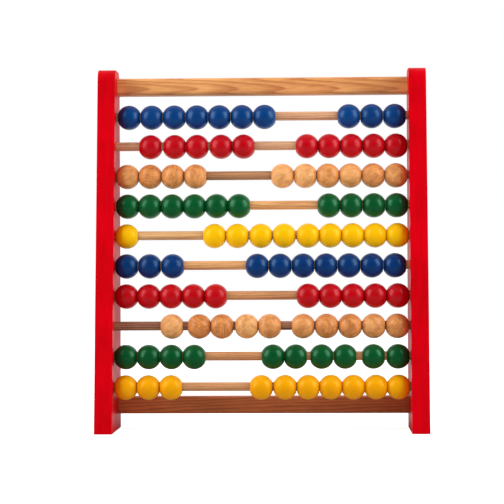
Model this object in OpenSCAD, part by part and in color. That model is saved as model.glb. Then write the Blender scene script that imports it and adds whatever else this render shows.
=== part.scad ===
// Counting board: two side panels, two bars and ten rods that carry ten beads each.
// Millimetres. +Z is up, the board is read from -Y, and the origin is on the ground under its middle.

/* [Side panels] */
// Clear width between the two side panels
inner_width = 244.8; // [225:0.2:320]
// Height of a side panel above the top rod's axis
panel_rise = 39.4; // [36:0.2:60]
// Thickness of a side panel
panel_thickness = 14.6; // [12:0.2:20]
// Depth of a side panel at its foot, front to back
panel_foot_depth = 75; // [65:1:95]
// Depth of a side panel at its top, before its corners are rounded
panel_top_depth = 36.6; // [33:0.2:50]
// Radius of the two rounded top corners of a side panel
panel_corner_radius = 10; // [3:0.5:14]

/* [Bars] */
// Height of the top bar and of the bottom bar
bar_height = 14.5; // [12:0.5:17]
// Depth of a bar, front to back
bar_depth = 16; // [12:0.5:18]
// Radius of a bar's rounded long edges
bar_edge_radius = 3; // [0.5:0.5:4]
// Distance from the panels' back edge to the back of a bar
bar_setback = 2; // [1:0.5:5]
// Height of the bottom bar's underside above the ground
bottom_bar_lift = 12.5; // [6:0.5:18]
// Distance from the panels' top down to the top bar
top_bar_drop = 6; // [4:0.5:10]

/* [Rods] */
// Diameter of a rod
rod_diameter = 7.4; // [5:0.1:8]
// Height of the lowest rod's axis above the ground
lowest_rod_height = 37.6; // [30:0.2:42]
// Height from one rod's axis to the next
row_pitch = 25; // [22.5:0.1:26]
// Distance of the rods' axes behind the panels' sloping front edge
rod_inset = 16.4; // [9:0.2:18]
// Depth of the blind holes that hold the ends of a rod
rod_hole_depth = 9; // [5:0.5:10]
// Room left for glue between the end of a rod and the bottom of its hole
rod_end_gap = 0.5; // [0.2:0.1:1]

/* [Beads] */
// Diameter of a bead
bead_diameter = 20.5; // [17:0.1:21.5]
// Difference between the diameters of a bead's hole and of a rod
bead_clearance = 1.2; // [0.4:0.1:1.6]
// Width of the flat ring round each end of a bead's hole
bead_rim = 0.2; // [0.1:0.1:1]

/* [Screws] */
// Diameter of a wood screw, which is also that of its hole in a bar
screw_diameter = 4; // [3:0.1:5]
// Length of a screw, head included
screw_length = 40; // [30:1:60]
// Diameter of a screw's countersunk head
screw_head_diameter = 8; // [7:0.1:9.5]
// Difference between the diameters of a screw and of its hole in a panel
screw_clearance = 0.4; // [0.2:0.1:0.8]
// Length of each arm-to-arm slot of the cross recess in a screw's head
recess_length = 4.4; // [3:0.1:5]
// Width of the slots of the cross recess
recess_width = 1; // [0.6:0.1:1.4]
// Depth of the cross recess
recess_depth = 1.4; // [0.8:0.1:1.8]

/* [Hidden] */
$fn = 72;

// The rows from the top down: how many of a row's beads stand on the left
left_counts = [7, 5, 4, 6, 1, 3, 5, 5, 4, 3];
beads_per_row = 10;
row_count = len(left_counts);
rows = [0 : row_count - 1];
sides = ["left", "right"];

// Where the beads stand, in hundredths of a row's free travel: the space left of the left group,
// the space from bead to bead in the left and right groups, and the space right of the right group.
// Spaces in brackets follow one another along a group and then start again
left_spaces = [2.5, 32.5, 0.8, 1.5, 0.8, 0.8, 0.8, 63.5, 0.8, 0.8];
left_bead_spaces = [0.9, [3, 0.6], 1, 0.3, 1, 1.2, 0.2, [7, 0.5, 3.5, 1], 0.7, 0.5];
right_bead_spaces = [
    1.2, 0.3, 0.8, 0.6, [1, 2, 1.5, 2.5, 0.2, 0.2, 0.2, 0.2],
    1, 0.2, 1.7, [0.5, 5, 1.5, 8, 3], [2, 1, 0.5, 0.2, 0.2, 0.2]
];
right_spaces = [3.5, 2, 2.5, 2, 1.2, 5, 1.5, 2.5, 2, 1.5];

// Paint of the rows, which repeats down the board
blue = [0.05, 0.16, 0.42];
red = [0.78, 0.05, 0.12];
plain_wood = [0.82, 0.62, 0.40];
green = [0.03, 0.30, 0.16];
yellow = [0.97, 0.72, 0.05];
row_paints = [blue, red, plain_wood, green, yellow];
steel = [0.70, 0.70, 0.72];

// A side panel's outline, with depth measured from the front of its foot
panel_height = rod_height(0) + panel_rise;
front_slope = (panel_foot_depth - panel_top_depth) / panel_height;
slope_angle = atan(front_slope);
corner_height = panel_height - panel_corner_radius;
front_corner = [
    front_slope * corner_height + panel_corner_radius / cos(slope_angle),
    corner_height
];
back_corner = [panel_foot_depth - panel_corner_radius, corner_height];
foot_front = -panel_foot_depth / 2;

// Bars stand in front of the panels' back edge
bar_middle = foot_front + panel_foot_depth - bar_setback - bar_depth / 2;
bottom_bar_middle = bottom_bar_lift + bar_height / 2;
top_bar_middle = panel_height - top_bar_drop - bar_height / 2;
bar_heights = [bottom_bar_middle, top_bar_middle];

// Beads are balls with a hole, and hang on their rods
bead_bore = rod_diameter + bead_clearance;
bead_length = sqrt(pow(bead_diameter, 2) - pow(bead_bore + 2 * bead_rim, 2));
hang_gap = 0.05;
bead_hang = bead_clearance / 2 - hang_gap;
free_travel = inner_width - beads_per_row * bead_length;

screw_hole = screw_diameter + screw_clearance;
screw_head_height = (screw_head_diameter - screw_diameter) / 2;
screw_hole_depth = screw_length - panel_thickness;
cut_margin = 1;

function two_digits(n) = str(n < 10 ? "0" : "", n);
function rod_name(row) = str("rod_", two_digits(row + 1));
function beads_name(row, side) = str("row_", two_digits(row + 1), "_", side, "_beads");

function rod_height(row) = lowest_rod_height + (row_count - 1 - row) * row_pitch;
function rod_depth(row) = foot_front + front_slope * rod_height(row) + rod_inset;

function bead_count(row, side) = side == "left" ? left_counts[row] : beads_per_row - left_counts[row];
function space_after(spaces, place) = is_list(spaces) ? spaces[place % len(spaces)] : spaces;
function first_spaces(spaces, count) =
    count <= 0 ? 0 : first_spaces(spaces, count - 1) + space_after(spaces, count - 1);
function space_before(row, side, place) =
    side == "left"
    ? left_spaces[row] + first_spaces(left_bead_spaces[row], place)
    : 100 - right_spaces[row] + first_spaces(right_bead_spaces[row], place)
        - first_spaces(right_bead_spaces[row], bead_count(row, side) - 1);
function bead_middle(row, side, place) =
    let (beads_before = place + (side == "left" ? 0 : left_counts[row]))
        free_travel * space_before(row, side, place) / 100
        + (beads_before + 0.5) * bead_length - inner_width / 2;

// A round bar along X that starts at the given place
module round_along_x(place, length, diameter) {
    translate(place)
        rotate([0, 90, 0])
            cylinder(h = length, d = diameter);
}

module panel_outline() {
    polygon([
        [0, 0],
        [panel_foot_depth, 0],
        [panel_foot_depth, corner_height],
        [back_corner.x, panel_height],
        [front_corner.x, panel_height],
        [
            front_corner.x - panel_corner_radius * cos(slope_angle),
            corner_height + panel_corner_radius * sin(slope_angle)
        ]
    ]);
    for (corner = [front_corner, back_corner])
        translate(corner)
            circle(r = panel_corner_radius);
}

// A wood screw with its head at the origin, pointing along +X
module screw_shape(shank_diameter) {
    rotate([0, 90, 0]) {
        cylinder(h = screw_head_height, d1 = screw_head_diameter, d2 = screw_diameter);
        cylinder(h = screw_length, d = shank_diameter);
    }
}

module cross_recess() {
    for (turn = [0, 90])
        rotate([turn, 0, 0])
            cube([2 * recess_depth, recess_length, recess_width], center = true);
}

// The right-hand panel, with its outer face away from the beads
module panel() {
    difference() {
        translate([inner_width / 2, foot_front, 0])
            rotate([90, 0, 90])
                linear_extrude(panel_thickness)
                    panel_outline();
        for (row = rows)
            round_along_x(
                [inner_width / 2 - cut_margin, rod_depth(row), rod_height(row)],
                rod_hole_depth + cut_margin,
                rod_diameter
            );
        for (height = bar_heights)
            right_screw_place(height)
                screw_shape(screw_hole);
    }
}

// Puts a screw's head flush in the right-hand panel's outer face, pointing inwards
module right_screw_place(height) {
    translate([inner_width / 2 + panel_thickness, bar_middle, height])
        mirror([1, 0, 0])
            children();
}

// A rectangle of the given size round its middle, with rounded corners
module rounded_rectangle(size, radius) {
    square([size.x - 2 * radius, size.y], center = true);
    square([size.x, size.y - 2 * radius], center = true);
    for (across = [-1, 1], up = [-1, 1])
        translate([across * (size.x / 2 - radius), up * (size.y / 2 - radius)])
            circle(r = radius);
}

module bar(middle) {
    difference() {
        translate([-inner_width / 2, bar_middle, middle])
            rotate([90, 0, 90])
                linear_extrude(inner_width)
                    rounded_rectangle([bar_depth, bar_height], bar_edge_radius);
        for (end = [0, 1])
            mirror([end, 0, 0])
                round_along_x(
                    [inner_width / 2 - screw_hole_depth, bar_middle, middle],
                    screw_hole_depth + cut_margin,
                    screw_diameter
                );
    }
}

module left_panel() {
    color(red)
        mirror([1, 0, 0])
            panel();
}

module right_panel() {
    color(red)
        panel();
}

module top_bar() {
    color(plain_wood)
        bar(top_bar_middle);
}

module bottom_bar() {
    color(plain_wood)
        bar(bottom_bar_middle);
}

module frame_screws() {
    color(steel)
        for (end = [0, 1], height = bar_heights)
            mirror([end, 0, 0])
                right_screw_place(height)
                    difference() {
                        screw_shape(screw_diameter);
                        cross_recess();
                    }
}

module rod(row) {
    reach = rod_hole_depth - rod_end_gap;
    color(plain_wood)
        round_along_x(
            [-inner_width / 2 - reach, rod_depth(row), rod_height(row)],
            inner_width + 2 * reach,
            rod_diameter
        );
}

// A ball turned round the X axis, drilled through and flat round the ends of its hole
module bead() {
    rotate([0, 90, 0])
        difference() {
            intersection() {
                sphere(d = bead_diameter);
                cylinder(h = bead_length, d = 2 * bead_diameter, center = true);
            }
            cylinder(h = 2 * bead_diameter, d = bead_bore, center = true);
        }
}

// The beads of one row that stand together on one side
module beads(row, side) {
    color(row_paints[row % len(row_paints)])
        for (place = [0 : bead_count(row, side) - 1])
            translate([bead_middle(row, side, place), rod_depth(row), rod_height(row) - bead_hang])
                bead();
}

left_panel();
right_panel();
top_bar();
bottom_bar();
frame_screws();
for (row = rows) {
    rod(row);
    for (side = sides)
        beads(row, side);
}
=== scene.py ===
"""Looks of the counting board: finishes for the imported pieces, a studio and the camera."""
import math

import bpy
from mathutils import Matrix, Vector

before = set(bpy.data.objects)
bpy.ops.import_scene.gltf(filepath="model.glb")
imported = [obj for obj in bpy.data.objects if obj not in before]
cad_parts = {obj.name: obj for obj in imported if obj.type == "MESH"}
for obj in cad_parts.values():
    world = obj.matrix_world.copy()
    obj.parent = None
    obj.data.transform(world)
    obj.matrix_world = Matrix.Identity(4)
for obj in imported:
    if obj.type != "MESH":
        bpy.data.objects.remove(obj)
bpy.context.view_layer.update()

ROWS = range(1, 11)
SIDES = ("left", "right")
MM_PER_METRE = 1000.0


def shade(red, green, blue):
    """A colour given in 0 to 255 steps, as the linear values that sockets take."""
    def linear(step):
        value = step / 255
        return value / 12.92 if value <= 0.04045 else ((value + 0.055) / 1.055) ** 2.4
    return (linear(red), linear(green), linear(blue), 1.0)


# ---------------------------------------------------------------- node trees

# The part of a noise's values that most of it lies in
MOST_NOISE = (0.3, 0.7)


class Nodes:
    """A node tree in the making, with short ways to add and join its nodes."""

    def __init__(self, tree):
        self.tree = tree
        tree.nodes.clear()

    def node(self, kind, **settings):
        """Adds a node and gives it its settings."""
        made = self.tree.nodes.new(kind)
        for name, value in settings.items():
            setattr(made, name, value)
        return made

    def put(self, socket, value):
        """Gives a socket a fixed value, or joins it to another node's output."""
        if isinstance(value, bpy.types.NodeSocket):
            self.tree.links.new(value, socket)
        else:
            socket.default_value = value

    def math(self, operation, first, second=0.0, third=0.0):
        """A sum, a product or the like of up to three numbers."""
        made = self.node("ShaderNodeMath", operation=operation)
        for socket, value in zip(made.inputs, (first, second, third)):
            self.put(socket, value)
        return made.outputs[0]

    def vector(self, operation, first, second=None, scale=None):
        """The same for places and directions."""
        made = self.node("ShaderNodeVectorMath", operation=operation)
        self.put(made.inputs[0], first)
        if second is not None:
            self.put(made.inputs[1], second)
        if scale is not None:
            self.put(made.inputs["Scale"], scale)
        return made.outputs["Value" if operation == "LENGTH" else "Vector"]

    def span(self, value, low, high, to_low=0.0, to_high=1.0):
        """Maps low..high to to_low..to_high, with soft ends."""
        made = self.node("ShaderNodeMapRange", interpolation_type="SMOOTHSTEP")
        for socket, given in zip(made.inputs, (value, low, high, to_low, to_high)):
            self.put(socket, given)
        return made.outputs["Result"]

    def layers(self, *pairs):
        """Adds up numbers, each of them times its share."""
        (value, share), *others = pairs
        total = self.math("MULTIPLY", value, share)
        for value, share in others:
            total = self.math("MULTIPLY_ADD", value, share, total)
        return total

    def noise(self, point, scale, detail=2.0, roughness=0.5, squeeze=None):
        """Soft random values round 0.5, as a number and as a colour.

        Along an axis where squeeze is less than 1, they are drawn out."""
        if squeeze is not None:
            point = self.vector("MULTIPLY", point, squeeze)
        made = self.node("ShaderNodeTexNoise")
        self.put(made.inputs["Vector"], point)
        self.put(made.inputs["Scale"], scale)
        self.put(made.inputs["Detail"], detail)
        self.put(made.inputs["Roughness"], roughness)
        return made.outputs["Fac"], made.outputs["Color"]

    def axis(self, value, name):
        """One of the three numbers of a place, a direction or a colour."""
        made = self.node("ShaderNodeSeparateXYZ")
        self.put(made.inputs[0], value)
        return made.outputs[name]


# ---------------------------------------------------------------- finishes of the board

class Finish(Nodes):
    """A material of the board, with one shader that its other nodes lead to."""

    SOCKETS = {
        "base_color": "Base Color",
        "metallic": "Metallic",
        "roughness": "Roughness",
        "specular": "Specular IOR Level",
        "specular_tint": "Specular Tint",
    }

    def __init__(self, name):
        self.material = bpy.data.materials.new(name)
        self.material.use_nodes = True
        super().__init__(self.material.node_tree)
        output = self.node("ShaderNodeOutputMaterial")
        self.shader = self.node("ShaderNodeBsdfPrincipled")
        self.put(output.inputs["Surface"], self.shader.outputs["BSDF"])

    def set(self, **values):
        """Sets the shader's own sockets: base_color=... sets Base Color, and so on."""
        for name, value in values.items():
            self.put(self.shader.inputs[self.SOCKETS[name]], value)

    def mix(self, share, first, second):
        """A colour that goes from first to second as share goes from 0 to 1."""
        made = self.node("ShaderNodeMix", data_type="RGBA")
        self.put(made.inputs["Factor"], share)
        self.put(made.inputs[6], first)
        self.put(made.inputs[7], second)
        return made.outputs[2]

    def place(self):
        """The place on the piece in millimetres, which moves with the piece."""
        seen = self.node("ShaderNodeTexCoord").outputs["Object"]
        return self.vector("SCALE", seen, scale=MM_PER_METRE)

    def per_bead(self):
        """A random number for each bead, and three more as a colour."""
        number = self.node("ShaderNodeNewGeometry").outputs["Random Per Island"]
        made = self.node("ShaderNodeTexWhiteNoise", noise_dimensions="1D")
        self.put(made.inputs["W"], number)
        return made.outputs["Value"], made.outputs["Color"]

    def bump(self, height, depth_mm):
        """Raises the surface by up to depth_mm where height is 1."""
        made = self.node("ShaderNodeBump")
        self.put(made.inputs["Strength"], 1.0)
        self.put(made.inputs["Distance"], depth_mm / MM_PER_METRE)
        self.put(made.inputs["Height"], height)
        self.put(self.shader.inputs["Normal"], made.outputs["Normal"])


# How far apart, in millimetres, two beads' finishes can lie in the same noise
BEAD_SPREAD = 300.0


def wood_figure(finish, point, ring_mm, stretch, wander_mm):
    """Growth rings round the X axis and fibres along it, at the given point in millimetres.

    Returns the rings' late wood and the fibres, each from 0 to 1."""
    squeezed = finish.vector("MULTIPLY", point, (1 / stretch, 1.0, 1.0))
    _, sway = finish.noise(squeezed, scale=0.055)
    sway = finish.vector("SUBTRACT", sway, (0.5, 0.5, 0.5))
    bent = finish.vector("ADD", squeezed, finish.vector("SCALE", sway, scale=wander_mm))
    across = finish.vector("MULTIPLY", bent, (0.0, 1.0, 1.0))
    radius = finish.math("DIVIDE", finish.vector("LENGTH", across), ring_mm)
    year = finish.math("FRACT", radius)
    darkens = finish.span(year, low=0.25, high=0.9)
    ends = finish.span(year, low=1.0, high=0.9)
    late = finish.math("MULTIPLY", darkens, ends)
    fibres, _ = finish.noise(
        squeezed, scale=0.35, detail=3.0, roughness=0.6, squeeze=(1.0, 6.0, 6.0))
    return late, finish.span(fibres, *MOST_NOISE)


def wood(name, tones, ring_mm, stretch, wander_mm, pith, lean, figure_share, fibre_share):
    """Bare wood under a thin satin varnish, from a pale to a dark tone, with its grain along X.

    The tree's middle ran through the place pith, in millimetres, and leaned by so many degrees
    towards the back: a lean draws the rings out into arches."""
    finish = Finish(name)
    leaned = finish.node("ShaderNodeVectorRotate", rotation_type="Z_AXIS")
    finish.put(leaned.inputs["Vector"], finish.vector("SUBTRACT", finish.place(), pith))
    finish.put(leaned.inputs["Angle"], -math.radians(lean))
    point = leaned.outputs["Vector"]
    late, fibres = wood_figure(finish, point, ring_mm, stretch, wander_mm)
    patches, _ = finish.noise(point, scale=0.05, squeeze=(0.3, 1.0, 1.0))
    darkness = finish.layers(
        (late, figure_share),
        (fibres, fibre_share),
        (finish.span(patches, low=0.35, high=0.65), 0.2),
    )
    pale, dark = tones
    finish.set(
        base_color=finish.mix(darkness, pale, dark),
        roughness=finish.span(fibres, 0.0, 1.0, to_low=0.42, to_high=0.56),
        specular=0.35,
    )
    finish.bump(fibres, depth_mm=0.05)
    return finish.material


def plain_bead_wood(name, pale, warm, dark):
    """Turned wood, cut from its blank at another angle in each bead."""
    finish = Finish(name)
    number, colour = finish.per_bead()
    turned = finish.node("ShaderNodeVectorRotate", rotation_type="EULER_XYZ")
    finish.put(turned.inputs["Vector"], finish.place())
    finish.put(turned.inputs["Rotation"], finish.vector("SCALE", colour, scale=2 * math.pi))
    apart = finish.vector("SCALE", colour, scale=BEAD_SPREAD)
    point = finish.vector("ADD", turned.outputs["Vector"], apart)
    off_pith = finish.vector("ADD", point, (0.0, 150.0, 150.0))
    late, _ = wood_figure(finish, off_pith, ring_mm=2.7, stretch=3.0, wander_mm=22.0)
    blotches, _ = finish.noise(point, scale=0.2, roughness=0.55, squeeze=(0.5, 1.0, 1.0))
    streaks, _ = finish.noise(point, scale=0.5, roughness=0.6, squeeze=(0.2, 1.0, 1.0))
    banded = finish.span(finish.axis(colour, "X"), 0.5, 0.95, to_low=0.06, to_high=0.32)
    darkness = finish.layers(
        (late, banded),
        (finish.span(blotches, low=0.38, high=0.66), 0.36),
        (finish.span(streaks, low=0.42, high=0.68), 0.18),
    )
    tone = finish.mix(number, pale, warm)
    finish.set(
        base_color=finish.mix(darkness, tone, dark),
        roughness=finish.span(streaks, *MOST_NOISE, to_low=0.32, to_high=0.42),
        specular=0.45,
        specular_tint=(1.0, 0.85, 0.65, 1.0),
    )
    finish.bump(streaks, depth_mm=0.03)
    return finish.material


def bead_paint(name, colour, deep, gloss):
    """Satin paint over turned wood, whose grain shows through faintly; its gloss is tinted."""
    finish = Finish(name)
    number, spread = finish.per_bead()
    apart = finish.vector("SCALE", spread, scale=BEAD_SPREAD)
    point = finish.vector("ADD", finish.place(), apart)
    cloud, _ = finish.noise(point, scale=0.12, detail=3.0)
    grain, _ = finish.noise(
        point, scale=1.3, detail=3.0, roughness=0.6, squeeze=(0.25, 1.0, 1.0))
    share = finish.layers(
        (finish.span(cloud, *MOST_NOISE), 0.35),
        (number, 0.3),
        (finish.span(grain, low=0.35, high=0.7), 0.15),
    )
    finish.set(
        base_color=finish.mix(share, colour, deep),
        roughness=finish.span(cloud, *MOST_NOISE, to_low=0.28, to_high=0.34),
        specular=0.46,
        specular_tint=gloss,
    )
    finish.bump(grain, depth_mm=0.02)
    return finish.material


def red_lacquer(name, colour, deep):
    """Satin paint brushed up and down a sanded board, with the soft waves of a thick coat."""
    finish = Finish(name)
    point = finish.place()
    strokes, _ = finish.noise(point, scale=0.3, squeeze=(1.0, 1.0, 0.04))
    cloud, _ = finish.noise(point, scale=0.03)
    waves, _ = finish.noise(point, scale=0.22, squeeze=(1.0, 1.0, 0.3))
    share = finish.layers(
        (finish.span(strokes, *MOST_NOISE), 0.4),
        (finish.span(cloud, *MOST_NOISE), 0.5),
    )
    finish.set(
        base_color=finish.mix(share, colour, deep),
        roughness=finish.span(cloud, *MOST_NOISE, to_low=0.36, to_high=0.42),
        specular=0.05,
        specular_tint=(1.0, 0.4, 0.45, 1.0),
    )
    finish.bump(waves, depth_mm=0.1)
    return finish.material


def screw_steel(name, bright, dull):
    """Zinc-plated steel, worn unevenly."""
    finish = Finish(name)
    point = finish.place()
    cloud, _ = finish.noise(point, scale=0.9, detail=4.0, roughness=0.6)
    scratches, _ = finish.noise(point, scale=1.5, squeeze=(1.0, 8.0, 0.6))
    finish.set(
        base_color=finish.mix(finish.span(cloud, *MOST_NOISE), bright, dull),
        metallic=1.0,
        roughness=finish.span(cloud, *MOST_NOISE, to_low=0.24, to_high=0.42),
    )
    finish.bump(scratches, depth_mm=0.02)
    return finish.material


# ---------------------------------------------------------------- the board

EASED_EDGE_MM = 0.4
WELD_MM = 0.01
SHARP_EDGE = math.radians(50)


def dress(node, material):
    """Gives a piece its finish."""
    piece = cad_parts[node]
    for place in piece.material_slots:
        place.material = material


def ease_edges(node):
    """Rounds a board's sharp edges a little."""
    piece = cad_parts[node]
    weld = piece.modifiers.new("joined_corners", "WELD")
    weld.merge_threshold = WELD_MM / MM_PER_METRE
    bevel = piece.modifiers.new("eased_edges", "BEVEL")
    bevel.width = EASED_EDGE_MM / MM_PER_METRE
    bevel.segments = 3
    bevel.limit_method = "ANGLE"
    bevel.angle_limit = SHARP_EDGE
    bevel.use_clamp_overlap = False
    bevel.harden_normals = True


lacquer = red_lacquer("red_lacquer", shade(219, 2, 20), shade(190, 2, 12))
for side in SIDES:
    dress(side + "_panel", lacquer)
    ease_edges(side + "_panel")

# The bottom bar's tones are darker and redder than the top bar's: painted shade for the bar that
# sits back behind the beads.
TOP_BAR_TONES = (shade(249, 179, 108), shade(180, 95, 48))
BOTTOM_BAR_SHADED_TONES = (shade(234, 135, 73), shade(154, 78, 41))
dress("top_bar", wood(
    "top_bar_wood", TOP_BAR_TONES, ring_mm=1.3, stretch=9.0, wander_mm=3.5,
    pith=(0.0, 29.0, 287.0), lean=1.8, figure_share=0.4, fibre_share=0.34))
dress("bottom_bar", wood(
    "bottom_bar_shaded_wood", BOTTOM_BAR_SHADED_TONES, ring_mm=1.6, stretch=9.0, wander_mm=4.5,
    pith=(0.0, 36.0, 8.0), lean=-1.5, figure_share=0.4, fibre_share=0.34))

PALE_ROD = (shade(236, 186, 142), shade(186, 126, 92))
FRESH_ROD = (shade(250, 202, 140), shade(206, 144, 92))
HONEY_ROD = (shade(242, 186, 124), shade(192, 128, 78))
AMBER_ROD = (shade(226, 164, 110), shade(170, 110, 68))
TAN_ROD = (shade(206, 150, 104), shade(150, 98, 62))
BROWN_ROD = (shade(190, 134, 100), shade(112, 64, 46))
ROD_TONES = (
    PALE_ROD,
    PALE_ROD,
    TAN_ROD,
    HONEY_ROD,
    FRESH_ROD,
    HONEY_ROD,
    AMBER_ROD,
    BROWN_ROD,
    AMBER_ROD,
    AMBER_ROD,
)
# The rods come from places in their trees that lie this far apart, from this first one
FIRST_PITH = Vector((0.0, 30.0, 0.0))
PITH_STEP = Vector((90.0, 7.0, 40.0))
for row, tones in zip(ROWS, ROD_TONES):
    dress(f"rod_{row:02d}", wood(
        f"rod_{row:02d}_wood", tones, ring_mm=1.7, stretch=10.0, wander_mm=6.0,
        pith=FIRST_PITH + row * PITH_STEP, lean=1.5, figure_share=0.5, fibre_share=0.5))

BLUE_GLOSS = (0.4, 0.7, 1.0, 1.0)
RED_GLOSS = (1.0, 0.45, 0.5, 1.0)
GREEN_GLOSS = (0.4, 1.0, 0.65, 1.0)
YELLOW_GLOSS = (1.0, 0.85, 0.15, 1.0)
DARK_WOOD = shade(158, 84, 38)
# The finishes of rows 1 to 10. The lower five rows' colours are darker copies of the upper five
# rows': painted shade for the lower part of the board, which gets less light. The lowest row's
# yellow is also more orange.
bead_finishes = (
    bead_paint("blue_beads", shade(5, 64, 129), shade(3, 49, 110), BLUE_GLOSS),
    bead_paint("red_beads", shade(196, 3, 20), shade(176, 2, 14), RED_GLOSS),
    plain_bead_wood("plain_beads", shade(248, 184, 114), shade(232, 148, 78), DARK_WOOD),
    bead_paint("green_beads", shade(3, 89, 42), shade(2, 74, 33), GREEN_GLOSS),
    bead_paint("lemon_beads", shade(253, 196, 4), shade(249, 182, 3), YELLOW_GLOSS),
    bead_paint("shaded_blue_beads", shade(3, 54, 116), shade(2, 41, 98), BLUE_GLOSS),
    bead_paint("shaded_red_beads", shade(194, 3, 17), shade(174, 2, 12), RED_GLOSS),
    plain_bead_wood("shaded_plain_beads", shade(245, 181, 112), shade(227, 145, 77), DARK_WOOD),
    bead_paint("shaded_green_beads", shade(3, 85, 38), shade(2, 71, 30), GREEN_GLOSS),
    bead_paint("deeper_yellow_and_shaded_beads", shade(246, 170, 3), shade(239, 156, 3), YELLOW_GLOSS),
)
for row, finish in zip(ROWS, bead_finishes):
    for side in SIDES:
        dress(f"row_{row:02d}_{side}_beads", finish)

dress("frame_screws", screw_steel("screw_steel", shade(205, 205, 208), shade(150, 150, 154)))


# ---------------------------------------------------------------- the studio

WHITE = (1.0, 1.0, 1.0, 1.0)


class Studio(Nodes):
    """The nodes of the floor's material or of the world."""

    def seen_by_camera(self):
        """1 for rays straight from the camera, and 0 for others."""
        return self.node("ShaderNodeLightPath").outputs["Is Camera Ray"]

    def seen_in_gloss(self):
        """1 for rays from a glossy or clear surface, and 0 for others."""
        path = self.node("ShaderNodeLightPath")
        return self.math(
            "MAXIMUM", path.outputs["Is Glossy Ray"], path.outputs["Is Transmission Ray"])

    def between(self, share, first, second):
        """A number that goes from first to second as share goes from 0 to 1."""
        made = self.node("ShaderNodeMix", data_type="FLOAT")
        self.put(made.inputs[0], share)
        self.put(made.inputs[2], first)
        self.put(made.inputs[3], second)
        return made.outputs[0]


# The floor's half width and the radius, in metres, from which it fades into the background
FLOOR_HALF = 3.0
FLOOR_SOLID = 1.2
# Its grey where light falls on it and its grey in the board's gloss, and then the white that it
# adds for the camera, which also shows in the gloss behind the board, from here to there
FLOOR_TONE = 0.6
FLOOR_GLOSS = 0.2
FLOOR_GLOW = 0.85
FLOOR_BEHIND = (0.0, 0.2)


def make_floor():
    """A pale floor that runs out into the white background and keeps the board's shadow."""
    mesh = bpy.data.meshes.new("floor")
    signs = ((-1, -1), (1, -1), (1, 1), (-1, 1))
    corners = [(FLOOR_HALF * x, FLOOR_HALF * y, 0.0) for x, y in signs]
    mesh.from_pydata(corners, [], [(0, 1, 2, 3)])
    floor = bpy.data.objects.new("floor", mesh)
    bpy.context.scene.collection.objects.link(floor)
    material = bpy.data.materials.new("floor")
    material.use_nodes = True
    mesh.materials.append(material)
    studio = Studio(material.node_tree)
    place = studio.node("ShaderNodeTexCoord").outputs["Object"]
    in_gloss = studio.seen_in_gloss()
    matt = studio.node("ShaderNodeBsdfDiffuse")
    studio.put(matt.inputs["Color"], studio.between(in_gloss, FLOOR_TONE, FLOOR_GLOSS))
    glow = studio.node("ShaderNodeEmission")
    studio.put(glow.inputs["Color"], WHITE)
    behind = studio.span(studio.axis(place, "Y"), *FLOOR_BEHIND)
    white_in_gloss = studio.math("MULTIPLY", in_gloss, behind)
    shown = studio.math("MAXIMUM", studio.seen_by_camera(), white_in_gloss)
    studio.put(glow.inputs["Strength"], studio.math("MULTIPLY", shown, FLOOR_GLOW))
    lit = studio.node("ShaderNodeAddShader")
    studio.put(lit.inputs[0], matt.outputs[0])
    studio.put(lit.inputs[1], glow.outputs[0])
    fade = studio.span(studio.vector("LENGTH", place), FLOOR_SOLID, FLOOR_HALF)
    edge = studio.node("ShaderNodeMixShader")
    studio.put(edge.inputs[0], fade)
    studio.put(edge.inputs[1], lit.outputs[0])
    studio.put(edge.inputs[2], studio.node("ShaderNodeBsdfTransparent").outputs[0])
    studio.put(studio.node("ShaderNodeOutputMaterial").inputs["Surface"], edge.outputs[0])


# The room's light on the board from behind and from above, each with the part of a direction's
# Y or Z over which it comes up, and then the same for the room that the board's gloss shows
BACK_LIGHT, BACK_LIGHT_EDGE = 0.72, (-0.1, 0.3)
TOP_LIGHT, TOP_LIGHT_EDGE = 0.9, (0.3, 1.0)
FRONT_GLOSS = 0.005
BACK_GLOSS, BACK_GLOSS_EDGE = 1.0, (-0.1, 0.5)
TOP_GLOSS, TOP_GLOSS_EDGE = 0.1, (0.5, 0.95)
BACKGROUND = 1.0


def make_world():
    """A white backdrop behind the board and a dim room in front of it."""
    world = bpy.data.worlds.new("studio")
    bpy.context.scene.world = world
    world.use_nodes = True
    world.cycles.sampling_method = "NONE"
    studio = Studio(world.node_tree)
    direction = studio.node("ShaderNodeTexCoord").outputs["Generated"]
    up = studio.axis(direction, "Z")
    back = studio.axis(direction, "Y")
    light = studio.math(
        "ADD",
        studio.span(back, *BACK_LIGHT_EDGE, 0.0, BACK_LIGHT),
        studio.span(up, *TOP_LIGHT_EDGE, 0.0, TOP_LIGHT),
    )
    gloss = studio.math(
        "MAXIMUM",
        studio.span(back, *BACK_GLOSS_EDGE, FRONT_GLOSS, BACK_GLOSS),
        studio.span(up, *TOP_GLOSS_EDGE, 0.0, TOP_GLOSS),
    )
    level = studio.between(studio.seen_in_gloss(), light, gloss)
    level = studio.between(studio.seen_by_camera(), level, BACKGROUND)
    shine = studio.node("ShaderNodeBackground")
    studio.put(shine.inputs["Color"], WHITE)
    studio.put(shine.inputs["Strength"], level)
    studio.put(studio.node("ShaderNodeOutputWorld").inputs["Surface"], shine.outputs[0])


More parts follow.
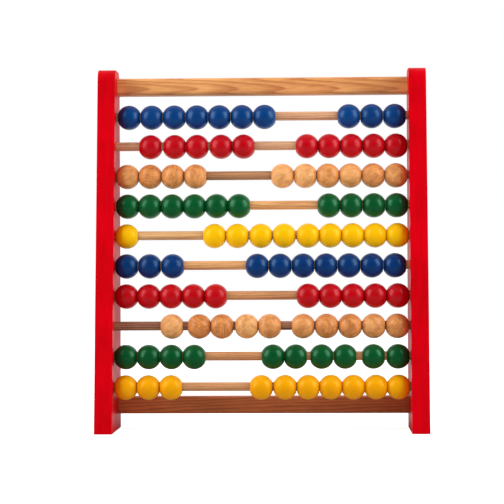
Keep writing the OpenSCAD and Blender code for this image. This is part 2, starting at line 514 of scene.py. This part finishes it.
# The lamps' directions from the board's middle, and their distance and sizes in metres
BOARD_MIDDLE = Vector((0.0, 0.0, 0.15))
SOFTBOX_TURN = math.radians(67)
SOFTBOX_RISE = math.radians(24)
SOFTBOX_DISTANCE = 0.9
SOFTBOX_WIDTH = 0.58
SOFTBOX_HEIGHT = 0.8


def softbox(name, turn, watts):
    """A soft lamp that faces the board: turn 0 stands in front of it, and plus is to the right."""
    lamp = bpy.data.lights.new(name, "AREA")
    lamp.shape = "RECTANGLE"
    lamp.size = SOFTBOX_WIDTH
    lamp.size_y = SOFTBOX_HEIGHT
    lamp.energy = watts
    box = bpy.data.objects.new(name, lamp)
    bpy.context.scene.collection.objects.link(box)
    level = math.cos(SOFTBOX_RISE)
    away = Vector((math.sin(turn) * level, -math.cos(turn) * level, math.sin(SOFTBOX_RISE)))
    box.location = BOARD_MIDDLE + SOFTBOX_DISTANCE * away
    box.rotation_mode = "QUATERNION"
    box.rotation_quaternion = (-away).to_track_quat("-Z", "Y")
    box.visible_camera = False


make_floor()
make_world()
softbox("left_softbox", -SOFTBOX_TURN, watts=6.8)
softbox("right_softbox", SOFTBOX_TURN, watts=7.1)


# ---------------------------------------------------------------- the camera

SENSOR_MM = 36.0
LENS_MM = 136.8
CAMERA_PLACE = (0.0485, -1.59478, 0.14)
YAW = math.radians(2.045)
PITCH = math.radians(0.31)
ROLL = math.radians(-0.268)


def make_camera():
    """The photograph's viewpoint, found from the board's corners and beads."""
    data = bpy.data.cameras.new("camera")
    data.sensor_width = SENSOR_MM
    data.lens = LENS_MM
    camera = bpy.data.objects.new("camera", data)
    bpy.context.scene.collection.objects.link(camera)
    turn = (
        Matrix.Rotation(YAW, 4, "Z")
        @ Matrix.Rotation(math.pi / 2 + PITCH, 4, "X")
        @ Matrix.Rotation(ROLL, 4, "Z")
    )
    camera.matrix_world = Matrix.Translation(CAMERA_PLACE) @ turn
    bpy.context.scene.camera = camera


make_camera()
bpy.context.scene.view_settings.view_transform = "Standard"

bpy.context.view_layer.update()
